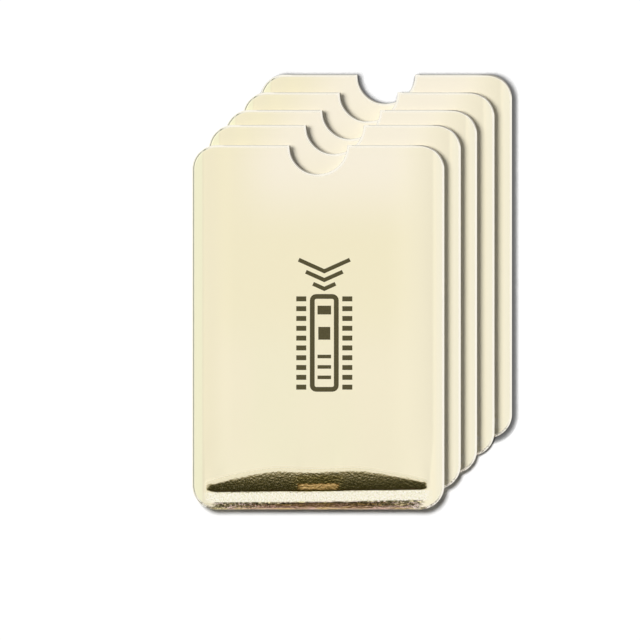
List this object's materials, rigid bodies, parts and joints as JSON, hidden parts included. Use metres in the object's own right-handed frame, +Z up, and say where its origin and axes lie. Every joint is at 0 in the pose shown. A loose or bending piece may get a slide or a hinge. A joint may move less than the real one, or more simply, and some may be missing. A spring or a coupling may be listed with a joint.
{
  "type": "foil card sleeve set",
  "caption": "Flat gold-foil card sleeves in a diagonal fan, each sealed on three sides and open at a thumb-notched mouth, to shield contactless cards from being read.",
  "frame": {"origin": "centre of the whole fan's footprint, on the table it lies on", "axes": "+X to the right across the sleeves, +Y towards their open mouths, +Z up off the table; sleeve 1 is on top at -X -Y and sleeve 5 is at the bottom at +X +Y"},
  "size_m": [0.08, 0.1088, 0.0067],
  "materials": {
    "gold_film": "gloss",
    "shield_foil": "polished",
    "seal_liner": "satin",
    "fused_seal": "satin"
  },
  "bodies": {
    "sleeve_1": {"sleeve_1_front_film": "gold_film", "sleeve_1_front_foil": "shield_foil", "sleeve_1_front_liner": "seal_liner", "sleeve_1_back_liner": "seal_liner", "sleeve_1_back_foil": "shield_foil", "sleeve_1_back_film": "gold_film", "sleeve_1_left_seal": "fused_seal", "sleeve_1_right_seal": "fused_seal", "sleeve_1_bottom_seal": "fused_seal"},
    "sleeve_2": {"sleeve_2_front_film": "gold_film", "sleeve_2_front_foil": "shield_foil", "sleeve_2_front_liner": "seal_liner", "sleeve_2_back_liner": "seal_liner", "sleeve_2_back_foil": "shield_foil", "sleeve_2_back_film": "gold_film", "sleeve_2_left_seal": "fused_seal", "sleeve_2_right_seal": "fused_seal", "sleeve_2_bottom_seal": "fused_seal"},
    "sleeve_3": {"sleeve_3_front_film": "gold_film", "sleeve_3_front_foil": "shield_foil", "sleeve_3_front_liner": "seal_liner", "sleeve_3_back_liner": "seal_liner", "sleeve_3_back_foil": "shield_foil", "sleeve_3_back_film": "gold_film", "sleeve_3_left_seal": "fused_seal", "sleeve_3_right_seal": "fused_seal", "sleeve_3_bottom_seal": "fused_seal"},
    "sleeve_4": {"sleeve_4_front_film": "gold_film", "sleeve_4_front_foil": "shield_foil", "sleeve_4_front_liner": "seal_liner", "sleeve_4_back_liner": "seal_liner", "sleeve_4_back_foil": "shield_foil", "sleeve_4_back_film": "gold_film", "sleeve_4_left_seal": "fused_seal", "sleeve_4_right_seal": "fused_seal", "sleeve_4_bottom_seal": "fused_seal"},
    "sleeve_5": {"sleeve_5_front_film": "gold_film", "sleeve_5_front_foil": "shield_foil", "sleeve_5_front_liner": "seal_liner", "sleeve_5_back_liner": "seal_liner", "sleeve_5_back_foil": "shield_foil", "sleeve_5_back_film": "gold_film", "sleeve_5_left_seal": "fused_seal", "sleeve_5_right_seal": "fused_seal", "sleeve_5_bottom_seal": "fused_seal"}
  },
  "joints": [
    {"name": "sleeve_4_draw", "type": "slide", "parent": "sleeve_5", "child": "sleeve_4", "axis": [0.7037, 0.7105, 0], "range_m": [-0.03771, 0.00629]},
    {"name": "sleeve_3_draw", "type": "slide", "parent": "sleeve_4", "child": "sleeve_3", "axis": [0.7036, 0.7105, 0], "range_m": [-0.03777, 0.00623]},
    {"name": "sleeve_2_draw", "type": "slide", "parent": "sleeve_3", "child": "sleeve_2", "axis": [0.7336, 0.6796, 0], "range_m": [-0.03843, 0.00557]},
    {"name": "sleeve_1_draw", "type": "slide", "parent": "sleeve_2", "child": "sleeve_1", "axis": [0.6311, 0.7757, 0], "range_m": [-0.03746, 0.00654]}
  ]
}
